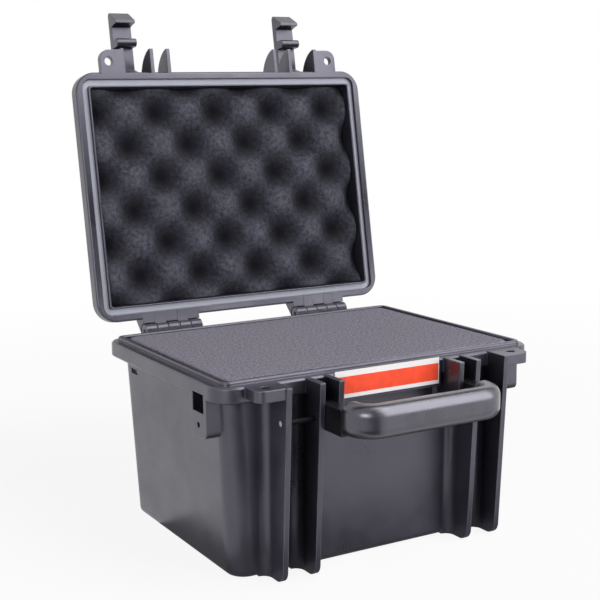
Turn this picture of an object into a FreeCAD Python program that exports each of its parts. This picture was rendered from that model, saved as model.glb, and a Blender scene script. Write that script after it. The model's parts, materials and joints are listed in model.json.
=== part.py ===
"""Hard case: a drafted tub and a hinged lid, with two latches, a carrying handle, a seal and foam.

Millimetres and degrees. X runs to the right, Y away from the front and Z up, and the origin is
the centre of the case's underside. The lid and what it carries are drawn shut, in a frame whose
height counts from the parting plane, and are then turned about the hinge pins to the open stop.
"""
import FreeCAD, Part
import math
import os
import re

import Sketcher

# Every size that can be set by itself, in millimetres or degrees.
SIZES = {
    # Rim of the tub and of the lid
    "flange_width": 270,
    "flange_depth": 204,
    "flange_radius": 17,
    "flange_height": 11.5,
    "parting": 141,
    "seam_gap": 0.4,
    "overhang": 9,
    "rim_bevel": 1.2,
    "rim_line": 8.4,
    "rim_corner": 4.6,
    "tongue_width": 4,
    "tongue_height": 3,
    "tongue_bevel": 1,
    # Tub
    "body_radius": 15,
    "cavity_radius": 9,
    "lean_side": 6.5,
    "lean_front": 3,
    "wall_thickness": 3.4,
    "floor_thickness": 3,
    "foot_edge": 5,
    # Front ribs and handle ears
    "rib_inset": 43,
    "rib_pitch": 26,
    "rib_thickness": 4,
    "rib_reach": 20,
    "rib_foot_reach": 22,
    "rib_root": 7,
    "rib_foot_radius": 9,
    "ear_pitch": 15,
    "ear_drop": 37,
    "ear_root": 3.5,
    "ear_foot_radius": 6,
    # Padlock tabs
    "tab_width": 23,
    "tab_reach": 18.5,
    "tab_thickness": 8,
    "tab_corner": 6,
    "padlock_pitch": 12.5,
    "padlock_reach": 9,
    "padlock_radius": 3.5,
    # Strap pads and notches on the sides
    "strap_place": 70,
    "strap_width": 25,
    "strap_drop": 39,
    "strap_corner": 5,
    "slot_width": 17,
    "slot_height": 13.5,
    "slot_drop": 8,
    "slot_depth": 9.5,
    "eyelet_radius": 2.25,
    "eyelet_drop": 30.5,
    "eyelet_depth": 6,
    "notch_place": 67,
    "notch_width": 12,
    "notch_height": 4,
    "notch_drop": 21,
    "notch_depth": 2,
    # Label panel
    "panel_inset": 4,
    "panel_height": 20.5,
    "label_inset": 6.3,
    "label_height": 19.6,
    "label_thickness": 0.5,
    "label_rise": 1.1,
    # Hinges
    "hinge_inset": 63.5,
    "hinge_width": 51,
    "hinge_reach": 10,
    "hinge_rise": 0.2,
    "hinge_radius": 6,
    "hinge_slope": 37,
    "knuckle_gap": 0.6,
    "hinge_pin_radius": 2,
    "pin_clearance": 0.06,
    "lid_open": 99.5,
    "toe_height": 4,
    "stop_gap": 0.3,
    # Lid
    "lip_height": 12,
    "crown_height": 38,
    "crown_lean": 3,
    "crown_radius": 9,
    "crown_edge": 7,
    "lid_cavity_radius": 2.5,
    "lid_wall": 3.1,
    "lid_top": 3,
    "panel_margin": 30,
    "panel_rise": 1.5,
    "fin_thickness": 3,
    "fin_reach": 19.5,
    "fin_height": 23,
    "fin_nose": 2,
    "fin_round": 27,
    "lid_ear_width": 20,
    "lid_ear_corner": 8,
    "lid_ear_thickness": 4.6,
    # Seal
    "seal_width": 5.2,
    "seal_height": 4,
    "seal_gap": 0.3,
    "seal_clearance": 0.1,
    # Catch rods
    "rod_radius": 2,
    "rod_reach": 11,
    "rod_drop": 26,
    "rod_overlap": 0.4,
    # Latches
    "pivot_inset": 1.5,
    "pivot_rise": 16.2,
    "latch_throw": 84.5,
    "latch_width": 17.4,
    "latch_side_gap": 0.3,
    "latch_barrel": 3.2,
    "latch_pin_radius": 1.5,
    "latch_plate": 5.5,
    "plate_gap": 2.5,
    "hook_gap": 0.3,
    "hook_drop": 10.4,
    "hook_foot": 2.4,
    "pull_lip": 10.8,
    "lip_round": 3,
    "bar_place": 30.3,
    "bar_radius": 3.5,
    "bar_drop": 7,
    "arm_back": 2.5,
    "arm_front": 8.5,
    # Handle
    "arm_gap": 0.5,
    "arm_thickness": 10,
    "arm_height": 18.5,
    "arm_below": 7.5,
    "arm_heel": 8,
    "arm_round": 7,
    "grip_reach": 51,
    "grip_thickness": 17,
    "grip_height": 23.5,
    "grip_cuff": 1.5,
    "grip_corner": 22,
    "grip_skin": 2.2,
    "grip_edge": 7.5,
    "core_tail": 3,
    "core_bevel": 3,
    "grip_clearance": 0.05,
    # Foam
    "foam_clearance": 0.4,
    "foam_top_drop": 0.4,
    "foam_pad": 10,
    "foam_layer_gap": 0.1,
    "egg_cell": 27.2,
    "egg_height": 11,
    "egg_recess": 3,
    "egg_left": 9,
    "egg_back": 9.5,
}

# Places and sizes that follow from the ones above, as expressions of the sheet.
FLANGE_X = "flange_width / 2"
FLANGE_Y = "flange_depth / 2"
BODY_X = "(flange_width / 2 - overhang)"
BODY_Y = "(flange_depth / 2 - overhang)"
HINGE_Y = "(flange_depth / 2 + hinge_reach)"
ROD_Y = "(-flange_depth / 2 - rod_reach)"
ROD_Z = "(parting - rod_drop)"
PIVOT_Y = "(-flange_depth / 2 + pivot_inset)"
RIB_OUTER = "(flange_width / 2 - rib_inset)"
RIB_INNER = f"({RIB_OUTER} - rib_pitch)"
EAR_X = f"({RIB_INNER} - ear_pitch)"
PADLOCK_X = f"({RIB_OUTER} + padlock_pitch)"
HINGE_X = "(flange_width / 2 - hinge_inset)"
LABEL_WIDTH = f"(2 * ({EAR_X} - label_inset))"
GROOVE_TOP = "(tongue_height + seal_gap + seal_height)"
LATCH_X = f"({RIB_OUTER} - rib_pitch / 2)"
BURY = "(overhang + wall_thickness + foot_edge)"

# The latched rod, seen from the latch's pin while the latch stands open.
ROD_BACK = "(-pivot_inset - rod_reach)"
ROD_DOWN = "(-rod_drop - pivot_rise)"
HOOK_RADIUS = f"(sqrt({ROD_BACK}^2 + {ROD_DOWN}^2) + rod_radius + hook_gap)"
ROD_HEIGHT = f"({ROD_DOWN} * cos(latch_throw) - {ROD_BACK} * sin(latch_throw))"
PLATE_LOW = f"({ROD_HEIGHT} + rod_radius + plate_gap)"
PLATE_TOP = f"({PLATE_LOW} + latch_plate)"
HOOK_TIP = f"({PLATE_LOW} - hook_drop)"

# The lid's turn about its hinge pins, from shut to the open stop.
LID_POSE = (
    f"placement(vector(0; {HINGE_Y}; parting + hinge_rise); rotation(vector(1; 0; 0); -lid_open))"
    f" * placement(vector(0; -{HINGE_Y}; -hinge_rise); rotation(vector(1; 0; 0); 0))"
)

# The three fins that stand on each side of the label, on the tub and on the lid.
FINS = {"outer_rib": RIB_OUTER, "inner_rib": RIB_INNER, "handle_ear": EAR_X}

doc = FreeCAD.newDocument("hard_case")
sheet = doc.addObject("Spreadsheet::Sheet", "sizes")
for row, (name, number) in enumerate(SIZES.items(), start=1):
    sheet.set(f"A{row}", name)
    sheet.set(f"B{row}", str(number))
    sheet.setAlias(f"B{row}", name)
doc.recompute()


def bound(text):
    """Point each size named in an expression at its cell in the sheet."""
    return re.sub(r"[a-z_]+", lambda word: f"sizes.{word[0]}" if word[0] in SIZES else word[0], text)


def value(text):
    """Work out an expression of the sheet as a plain number."""
    return float(sheet.evalExpression(bound(text)))


def wall_x(height):
    """Half width of the tub's outside at a height above its underside."""
    return f"({BODY_X} - lean_side * (1 - ({height}) / parting))"


def wall_y(height):
    """Half depth of the tub's outside at a height above its underside."""
    return f"({BODY_Y} - lean_front * (1 - ({height}) / parting))"


def rib_front(height):
    """Distance of the ribs' front edge from the case's centre at a height."""
    foot = f"({wall_y('0')} + rib_foot_reach)"
    return f"({foot} + ({FLANGE_Y} + rib_reach - {foot}) * ({height}) / parting)"


# Sketches and features

def new_body(label):
    """Start a moulded piece."""
    body = doc.addObject("PartDesign::Body", label)
    body.Label = label
    return body


def origin_plane(body, role):
    """Find one of a body's own origin planes."""
    return next(item for item in body.Origin.OriginFeatures if item.Role == role)


def attach_sketch(body, name, role):
    """Start a sketch on an origin plane."""
    sketch = body.newObject("Sketcher::SketchObject", name)
    sketch.AttachmentSupport = [(origin_plane(body, role), "")]
    sketch.MapMode = "FlatFace"
    return sketch


def new_sketch(body, name, role, offset="0"):
    """Lay a sketch on an origin plane, moved along that plane's normal."""
    sketch = attach_sketch(body, name, role)
    sketch.setExpression("AttachmentOffset.Base.z", bound(offset))
    return sketch


def new_wall_sketch(body, name, height):
    """Lay a sketch square to the leaning front wall, with its origin on that wall at a height."""
    sketch = attach_sketch(body, name, "XY_Plane")
    place = f"vector(0; -{wall_y(height)}; {height})"
    lean = "rotation(vector(1; 0; 0); atan(lean_front / parting))"
    sketch.setExpression("AttachmentOffset", bound(f"placement({place}; {lean})"))
    return sketch


def hold(sketch, kind, geometry, point, text):
    """Tie one coordinate of a sketch's point, or a radius, to an expression."""
    name = f"size{sketch.ConstraintCount}"
    if kind == "Radius":
        constraint = Sketcher.Constraint(kind, geometry, value(text))
    else:
        constraint = Sketcher.Constraint(kind, -1, 1, geometry, point, value(text))
    constraint.Name = name
    sketch.addConstraint(constraint)
    sketch.setExpression(f"Constraints.{name}", bound(text))


def arc_between(start, end, radius, turn, large):
    """Make an arc from start to end; turn is 1 to the left and -1 to the right."""
    chord = end - start
    side = FreeCAD.Vector(-chord.y, chord.x, 0).normalize()
    rise = math.sqrt(max(radius ** 2 - (chord.Length / 2) ** 2, 0))
    centre = (start + end) / 2 + side * rise * (-turn if large else turn)
    first, last = (start, end) if turn > 0 else (end, start)
    angles = [math.atan2(p.y - centre.y, p.x - centre.x) for p in (first, last)]
    return Part.ArcOfCircle(Part.Circle(centre, FreeCAD.Vector(0, 0, 1), radius), *angles)


def draw(sketch, steps):
    """Draw a closed outline; each step is a point, or a point with an arc that leads to it.

    A step is (x, y) or (x, y, radius, turn) or (x, y, radius, turn, True) for over half a circle.
    """
    points = [FreeCAD.Vector(value(step[0]), value(step[1]), 0) for step in steps]
    ends = []
    first = sketch.GeometryCount
    for number, step in enumerate(steps):
        start, end = points[number - 1], points[number]
        if len(step) == 2:
            sketch.addGeometry(Part.LineSegment(start, end), False)
            ends.append((1, 2))
        else:
            large = len(step) > 4
            sketch.addGeometry(arc_between(start, end, value(step[2]), step[3], large), False)
            ends.append((1, 2) if step[3] > 0 else (2, 1))
    for number, step in enumerate(steps):
        geometry = first + number
        after = (number + 1) % len(steps)
        sketch.addConstraint(
            Sketcher.Constraint("Coincident", geometry, ends[number][1], first + after, ends[after][0])
        )
        hold(sketch, "DistanceX", geometry, ends[number][1], step[0])
        hold(sketch, "DistanceY", geometry, ends[number][1], step[1])
        if len(step) > 2:
            hold(sketch, "Radius", geometry, 0, step[2])


def draw_circle(sketch, x, y, radius):
    """Draw a circle about a point."""
    geometry = sketch.GeometryCount
    centre = FreeCAD.Vector(value(x), value(y), 0)
    sketch.addGeometry(Part.Circle(centre, FreeCAD.Vector(0, 0, 1), value(radius)), False)
    hold(sketch, "DistanceX", geometry, 3, x)
    hold(sketch, "DistanceY", geometry, 3, y)
    hold(sketch, "Radius", geometry, 0, radius)


def draw_box(sketch, low_x, low_y, high_x, high_y):
    """Draw a rectangle between two corners."""
    draw(sketch, [(low_x, low_y), (high_x, low_y), (high_x, high_y), (low_x, high_y)])


def draw_ring(sketch, half_x, half_y, radius):
    """Draw a rounded rectangle about the origin."""
    in_x = f"({half_x} - ({radius}))"
    in_y = f"({half_y} - ({radius}))"
    draw(sketch, [
        (in_x, f"-({half_y})"),
        (half_x, f"-{in_y}", radius, 1),
        (half_x, in_y),
        (in_x, half_y, radius, 1),
        (f"-{in_x}", half_y),
        (f"-({half_x})", in_y, radius, 1),
        (f"-({half_x})", f"-{in_y}"),
        (f"-{in_x}", f"-({half_y})", radius, 1),
    ])


def extrude(body, sketch, length, cut=False, backwards=False):
    """Pad a sketch along its normal, or cut it against its normal."""
    kind = "PartDesign::Pocket" if cut else "PartDesign::Pad"
    feature = body.newObject(kind, f"{sketch.Name}_{'cut' if cut else 'pad'}")
    feature.Profile = sketch
    feature.Reversed = backwards
    feature.setExpression("Length", bound(length))
    sketch.Visibility = False
    return feature


def frustum(body, name, low, high, low_half, high_half):
    """Make a four-sided block with leaning walls, from its half widths at two heights."""
    feature = body.newObject("PartDesign::AdditiveWedge", name)
    feature.Placement = FreeCAD.Placement(FreeCAD.Vector(), FreeCAD.Rotation(FreeCAD.Vector(1, 0, 0), 90))
    sides = {"X": low_half[0], "X2": high_half[0], "Z": low_half[1], "Z2": high_half[1]}
    for side, half in sides.items():
        feature.setExpression(f"{side}min", bound(f"-{half}"))
        feature.setExpression(f"{side}max", bound(half))
    feature.setExpression("Ymin", bound(low))
    feature.setExpression("Ymax", bound(high))
    return feature


def hollow_out(body, name, tool):
    """Cut a second body out of a piece."""
    doc.recompute()
    feature = body.newObject("PartDesign::Boolean", name)
    feature.Type = "Cut"
    feature.setObjects([tool])
    body.Tip = feature
    doc.recompute()
    return feature


def mirror(body, name, features):
    """Repeat features of the right half on the left half."""
    feature = body.newObject("PartDesign::Mirrored", name)
    feature.Originals = features
    feature.MirrorPlane = (origin_plane(body, "YZ_Plane"), [""])
    body.Tip = feature
    doc.recompute()
    return feature


def dress_edges(body, kind, name, base, chosen, measure, size):
    """Put a fillet or a chamfer on the edges of a feature that a test chooses."""
    doc.recompute()
    edges = [f"Edge{n}" for n, edge in enumerate(base.Shape.Edges, start=1) if chosen(edge)]
    feature = body.newObject(kind, name)
    feature.Base = (base, edges)
    feature.setExpression(measure, bound(size))
    doc.recompute()
    return feature


def round_edges(body, name, base, chosen, radius):
    """Fillet the edges of a feature that a test chooses."""
    return dress_edges(body, "PartDesign::Fillet", name, base, chosen, "Radius", radius)


def bevel_edges(body, name, base, chosen, size):
    """Chamfer the edges of a feature that a test chooses."""
    return dress_edges(body, "PartDesign::Chamfer", name, base, chosen, "Size", size)


def lies_at(edge, axis, place):
    """Say whether both ends and the middle of an edge lie at a place along an axis."""
    points = [vertex.Point for vertex in edge.Vertexes] + [edge.CenterOfMass]
    return all(abs(point[axis] - place) < 0.01 for point in points)


def rises(edge):
    """Say whether an edge runs from a lower outline to an upper one."""
    ends = [vertex.Point.z for vertex in edge.Vertexes]
    return max(ends) - min(ends) > 1


def bevel_rim(body, name, base, levels):
    """Bevel the outer edges of the tub's flange or the lid's lip at two levels."""
    half_x = value(FLANGE_X)
    half_y = value(FLANGE_Y)
    heights = [value(level) for level in levels]

    def chosen(edge):
        points = [vertex.Point for vertex in edge.Vertexes]
        outside = all(abs(abs(p.x) - half_x) < 0.01 or abs(abs(p.y) - half_y) < 0.01 for p in points)
        return outside and any(lies_at(edge, 2, height) for height in heights)

    return bevel_edges(body, name, base, chosen, "rim_bevel")


# Outlines that two pieces share

def draw_rim_band(sketch, width):
    """Draw the band that follows the seal's line round the rim."""
    for side in (f"-({width}) / 2", f"({width}) / 2"):
        draw_ring(
            sketch,
            f"({FLANGE_X} - rim_line + {side})",
            f"({FLANGE_Y} - rim_line + {side})",
            f"(rim_corner + {side})",
        )


def draw_tab(sketch, width, corner):
    """Draw the padlock tab that stands beside the outer rib, on the tub and on the lid."""
    outer = f"({RIB_OUTER} + {width})"
    front = f"(-{FLANGE_Y} - tab_reach)"
    draw(sketch, [
        (RIB_OUTER, front),
        (f"({outer} - {corner})", front),
        (outer, f"({front} + {corner})", corner, 1),
        (outer, f"(-{FLANGE_Y} + overhang / 2)"),
        (RIB_OUTER, f"(-{FLANGE_Y} + overhang / 2)"),
    ])


def tub_block(body, name, low, high, inset):
    """Make the leaning block of the tub's walls between two heights, inset from their outside."""
    return frustum(
        body, name, low, high,
        (f"({wall_x(low)} - ({inset}))", f"({wall_y(low)} - ({inset}))"),
        (f"({wall_x(high)} - ({inset}))", f"({wall_y(high)} - ({inset}))"),
    )


def crown_block(body, name, low, high, inset):
    """Make the leaning block of the crown's walls between two heights above the parting plane."""
    halves = [
        tuple(f"({half} - crown_lean * ({height}) / crown_height - ({inset}))" for half in (BODY_X, BODY_Y))
        for height in (low, high)
    ]
    return frustum(body, name, low, high, *halves)


def draw_rib(sketch, low, foot_radius):
    """Draw a front rib from the side, from a height up to the rim, with a round foot."""
    turn = f"({low} + {foot_radius})"
    front = f"-{rib_front(turn)}"
    draw(sketch, [
        (f"(-{wall_y(low)} + wall_thickness + foot_edge)", low),
        (f"(-{wall_y('parting')} + wall_thickness)", "parting"),
        (f"-{rib_front('parting')}", "parting"),
        (front, turn),
        (f"({front} + {foot_radius})", low, foot_radius, 1),
    ])


def draw_root(sketch, place, root):
    """Draw the plan of a rib's hollow roots, which flare into the front wall."""
    side = "rib_thickness / 2"
    deep = "(wall_thickness + foot_edge)"
    draw(sketch, [
        (f"({place} - {side})", f"-{root}", root, -1),
        (f"({place} + {side})", f"-{root}"),
        (f"({place} + {side} + {root})", "0", root, -1),
        (f"({place} + {side} + {root})", deep),
        (f"({place} - {side} - {root})", deep),
        (f"({place} - {side} - {root})", "0"),
    ])


def knuckle_start(number):
    """Place the near end of one of the five knuckles of the right hinge."""
    return f"({HINGE_X} - hinge_width / 2 + {number} * hinge_width / 5 + knuckle_gap / 2)"


KNUCKLE_WIDTH = "(hinge_width / 5 - knuckle_gap)"


def draw_lug(sketch, base_height, foot_y, up):
    """Draw a hinge lug: a barrel round the pin with a gusset that runs tangent to the wall.

    up is 1 on the lid, whose gusset rises, and -1 on the tub, whose gusset falls.
    """
    axis = f"({base_height} + hinge_rise)"
    tangent_y = f"({HINGE_Y} + hinge_radius * sin(hinge_slope))"
    tangent_z = f"({axis} + {up} * hinge_radius * cos(hinge_slope))"
    foot_z = f"({tangent_z} + {up} * tan(hinge_slope) * ({tangent_y} - {foot_y}))"
    seam = f"({base_height} + {'seam_gap' if up > 0 else '0'})"
    draw(sketch, [
        (foot_y, seam),
        (f"({HINGE_Y} - hinge_radius)", axis),
        (tangent_y, tangent_z, "hinge_radius", up, True),
        (foot_y, foot_z),
    ])


# Tub

def make_base_shell():
    """The drafted tub with its flange, ribs, ears, tabs, pads, label panel and hinge knuckles."""
    body = new_body("base_shell")
    tub = tub_block(body, "tub", "0", "parting", "0")
    tub = round_edges(body, "tub_corners", tub, rises, "body_radius")
    round_edges(body, "foot_rounding", tub, lambda edge: lies_at(edge, 2, 0), "foot_edge")

    flange = new_sketch(body, "flange_outline", "XY_Plane", "parting - flange_height")
    draw_ring(flange, FLANGE_X, FLANGE_Y, "flange_radius")
    flange = extrude(body, flange, "flange_height")
    bevel_rim(body, "flange_bevel", flange, ("parting", "parting - flange_height"))

    panel = new_sketch(body, "label_panel", "XZ_Plane", FLANGE_Y)
    panel_half = f"({EAR_X} - panel_inset)"
    draw_box(panel, f"-{panel_half}", "parting - panel_height", panel_half, "parting - rim_bevel")
    extrude(body, panel, BURY, backwards=True)

    sided = []
    for name, place in FINS.items():
        ear = name == "handle_ear"
        low = "(parting - ear_drop)" if ear else "0"
        root = "ear_root" if ear else "rib_root"
        plate = new_sketch(body, f"{name}_plate", "YZ_Plane", f"{place} - rib_thickness / 2")
        draw_rib(plate, low, "ear_foot_radius" if ear else "rib_foot_radius")
        sided.append(extrude(body, plate, "rib_thickness"))
        flare = new_wall_sketch(body, f"{name}_root", f"({low} + {root} * lean_front / parting)")
        draw_root(flare, place, root)
        sided.append(extrude(body, flare, f"(parting - flange_height / 2 - {low})"))

    tab = new_sketch(body, "padlock_tab", "XY_Plane", "parting - tab_thickness")
    draw_tab(tab, "tab_width", "tab_corner")
    sided.append(extrude(body, tab, "tab_thickness"))

    strap = new_sketch(body, "strap_pad", "YZ_Plane", FLANGE_X)
    near = "(-strap_place + strap_width / 2)"
    far = "(-strap_place - strap_width / 2)"
    low = "(parting - strap_drop)"
    draw(strap, [
        (f"({near} - strap_corner)", low),
        (near, f"({low} + strap_corner)", "strap_corner", 1),
        (near, "(parting - flange_height / 2)"),
        (far, "(parting - flange_height / 2)"),
        (far, f"({low} + strap_corner)"),
        (f"({far} + strap_corner)", low, "strap_corner", 1),
    ])
    sided.append(extrude(body, strap, f"({BURY} + lean_side)", backwards=True))

    for number in (0, 2, 4):
        lug = new_sketch(body, f"tub_knuckle_{number}", "YZ_Plane", knuckle_start(number))
        draw_lug(lug, "parting", f"({BODY_Y} - wall_thickness)", -1)
        sided.append(extrude(body, lug, KNUCKLE_WIDTH))
    mirror(body, "left_half", sided)

    hollow = new_body("tub_hollow")
    block = tub_block(hollow, "tub_hollow_block", "floor_thickness", "parting", "wall_thickness")
    round_edges(hollow, "tub_hollow_corners", block, rises, "cavity_radius")
    hollow_out(body, "cavity", hollow)

    tongue = new_sketch(body, "tongue", "XY_Plane", "parting")
    draw_rim_band(tongue, "tongue_width")
    tongue = extrude(body, tongue, "tongue_height")
    tongue_top = value("parting + tongue_height")
    bevel_edges(body, "tongue_edges", tongue, lambda edge: lies_at(edge, 2, tongue_top), "tongue_bevel")

    cuts = []
    padlock = new_sketch(body, "tab_hole", "XY_Plane", "parting")
    draw_circle(padlock, PADLOCK_X, f"(-{FLANGE_Y} - padlock_reach)", "padlock_radius")
    cuts.append(extrude(body, padlock, "tab_thickness", cut=True))

    slot = new_sketch(body, "strap_slot", "YZ_Plane", FLANGE_X)
    draw_box(
        slot, "-strap_place - slot_width / 2", "parting - slot_drop - slot_height",
        "-strap_place + slot_width / 2", "parting - slot_drop",
    )
    cuts.append(extrude(body, slot, "slot_depth", cut=True))

    eyelet = new_sketch(body, "strap_eyelet", "YZ_Plane", FLANGE_X)
    draw_circle(eyelet, "-strap_place", "parting - eyelet_drop", "eyelet_radius")
    cuts.append(extrude(body, eyelet, "eyelet_depth", cut=True))

    notch = new_sketch(body, "side_notch", "YZ_Plane", BODY_X)
    draw_box(
        notch, "notch_place - notch_width / 2", "parting - notch_drop - notch_height / 2",
        "notch_place + notch_width / 2", "parting - notch_drop + notch_height / 2",
    )
    cuts.append(extrude(body, notch, "lean_side * notch_drop / parting + notch_depth", cut=True))

    rod = new_sketch(body, "rod_bore", "YZ_Plane", f"{RIB_OUTER} + rib_thickness")
    draw_circle(rod, ROD_Y, ROD_Z, "rod_radius + pin_clearance")
    cuts.append(extrude(body, rod, "rib_pitch + ear_pitch + 2 * rib_thickness", cut=True))

    pin = new_sketch(body, "tub_pin_bore", "YZ_Plane", f"{HINGE_X} + hinge_width / 2")
    draw_circle(pin, HINGE_Y, "parting + hinge_rise", "hinge_pin_radius + pin_clearance")
    cuts.append(extrude(body, pin, "hinge_width", cut=True))
    mirror(body, "left_cuts", cuts)
    return body


def make_front_label():
    """The thin label on the panel behind the handle."""
    label = doc.addObject("Part::Box", "front_label")
    label.Label = "front_label"
    label.setExpression("Length", bound(LABEL_WIDTH))
    label.setExpression("Width", bound("label_thickness"))
    label.setExpression("Height", bound("label_height"))
    label.setExpression("Placement.Base.x", bound(f"-{LABEL_WIDTH} / 2"))
    label.setExpression("Placement.Base.y", bound(f"-{FLANGE_Y} - label_thickness"))
    label.setExpression("Placement.Base.z", bound("parting + label_rise - label_height"))
    return label


# Lid

def make_lid_shell():
    """The lid with its lip, crown, fins, padlock ears, hinge knuckles and seal groove."""
    body = new_body("lid_shell")
    crown = crown_block(body, "crown", "seam_gap", "crown_height", "0")
    crown = round_edges(body, "crown_corners", crown, rises, "crown_radius")
    crown_height = value("crown_height")
    round_edges(body, "crown_rounding", crown, lambda edge: lies_at(edge, 2, crown_height), "crown_edge")

    panel = new_sketch(body, "crown_panel", "XY_Plane", "crown_height - lid_top / 2")
    draw_ring(panel, f"({BODY_X} - panel_margin)", f"({BODY_Y} - panel_margin)", "body_radius")
    extrude(body, panel, "panel_rise + lid_top / 2")

    lip = new_sketch(body, "lip_outline", "XY_Plane", "seam_gap")
    draw_ring(lip, FLANGE_X, FLANGE_Y, "flange_radius")
    lip = extrude(body, lip, "lip_height - seam_gap")
    bevel_rim(body, "lip_bevel", lip, ("seam_gap", "lip_height"))

    sided = []
    for name, place in FINS.items():
        fin = new_sketch(body, f"{name}_lid_fin", "YZ_Plane", f"{place} - fin_thickness / 2")
        tip = f"(-{FLANGE_Y} - fin_reach)"
        back = f"(-{BODY_Y} + crown_lean + lid_wall / 2)"
        draw(fin, [
            (back, "seam_gap"),
            (tip, "seam_gap"),
            (tip, "seam_gap + fin_nose"),
            (back, "fin_height", "fin_round", -1),
        ])
        sided.append(extrude(body, fin, "fin_thickness"))

    ear = new_sketch(body, "padlock_ear", "XY_Plane", "seam_gap")
    draw_tab(ear, "lid_ear_width", "lid_ear_corner")
    sided.append(extrude(body, ear, "lid_ear_thickness"))

    web = new_sketch(body, "hinge_web", "YZ_Plane", f"{HINGE_X} - hinge_width / 2")
    draw_hinge_web(web)
    sided.append(extrude(body, web, "hinge_width"))
    for number in (1, 3):
        lug = new_sketch(body, f"lid_knuckle_{number}", "YZ_Plane", knuckle_start(number))
        draw_lug(lug, "0", f"({BODY_Y} - lid_wall)", 1)
        sided.append(extrude(body, lug, KNUCKLE_WIDTH))
        toe = new_sketch(body, f"stop_toe_{number}", "YZ_Plane", knuckle_start(number))
        draw_toe(toe)
        sided.append(extrude(body, toe, KNUCKLE_WIDTH))
    mirror(body, "left_half_lid", sided)

    hollow = new_body("lid_hollow")
    block = crown_block(hollow, "lid_hollow_block", "seam_gap", "crown_height - lid_top", "lid_wall")
    round_edges(hollow, "lid_hollow_corners", block, rises, "lid_cavity_radius")
    hollow_out(body, "inside", hollow)

    groove = new_sketch(body, "seal_groove", "XY_Plane", "0")
    draw_rim_band(groove, "seal_width")
    extrude(body, groove, GROOVE_TOP, cut=True, backwards=True)

    cuts = []
    padlock = new_sketch(body, "ear_hole", "XY_Plane", "seam_gap + lid_ear_thickness")
    draw_circle(padlock, PADLOCK_X, f"(-{FLANGE_Y} - padlock_reach)", "padlock_radius")
    cuts.append(extrude(body, padlock, "lid_ear_thickness", cut=True))

    latch = new_sketch(body, "latch_pin_bore", "YZ_Plane", f"{RIB_OUTER} + fin_thickness")
    draw_circle(latch, PIVOT_Y, "pivot_rise", "latch_pin_radius + pin_clearance")
    cuts.append(extrude(body, latch, "rib_pitch + 2 * fin_thickness", cut=True))

    pin = new_sketch(body, "lid_pin_bore", "YZ_Plane", f"{HINGE_X} + hinge_width / 2")
    draw_circle(pin, HINGE_Y, "hinge_rise", "hinge_pin_radius + pin_clearance")
    cuts.append(extrude(body, pin, "hinge_width", cut=True))
    mirror(body, "left_cuts_lid", cuts)
    body.setExpression("Placement", bound(LID_POSE))
    return body


def draw_hinge_web(sketch):
    """Draw the web that joins the lid's knuckles to its back and runs clear of the tub's knuckles."""
    clear = "(hinge_radius + knuckle_gap)"
    start_y = f"({HINGE_Y} - sqrt({clear}^2 - (seam_gap - hinge_rise)^2))"
    along = f"sqrt({clear}^2 - hinge_radius^2)"
    end_y = f"({HINGE_Y} + hinge_radius * sin(hinge_slope) - {along} * cos(hinge_slope))"
    end_z = f"(hinge_rise + hinge_radius * cos(hinge_slope) + {along} * sin(hinge_slope))"
    foot_y = f"({BODY_Y} - lid_wall)"
    draw(sketch, [
        (foot_y, "seam_gap"),
        (start_y, "seam_gap"),
        (end_y, end_z, clear, -1),
        (foot_y, f"({end_z} + tan(hinge_slope) * ({end_y} - {foot_y}))"),
    ])


def draw_toe(sketch):
    """Draw the toe that meets the back of the flange when the lid stands open."""
    near = "-hinge_radius / 2"
    far = "(stop_gap - hinge_reach)"
    corners = [(near, "-toe_height"), (near, "0"), (far, "0"), (far, "-toe_height")]
    draw(sketch, [
        (f"({HINGE_Y} + ({along}) * cos(lid_open) - ({up}) * sin(lid_open))",
         f"(hinge_rise + ({along}) * sin(lid_open) + ({up}) * cos(lid_open))")
        for along, up in corners
    ])


def make_lid_seal():
    """The rubber seal in the lid's groove, just above the tub's tongue when shut."""
    body = new_body("lid_seal")
    band = new_sketch(body, "seal_band", "XY_Plane", "tongue_height + seal_gap")
    draw_rim_band(band, "seal_width - 2 * seal_clearance")
    extrude(body, band, "seal_height")
    body.setExpression("Placement", bound(LID_POSE))
    return body


# Latches, pins and rods

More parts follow.
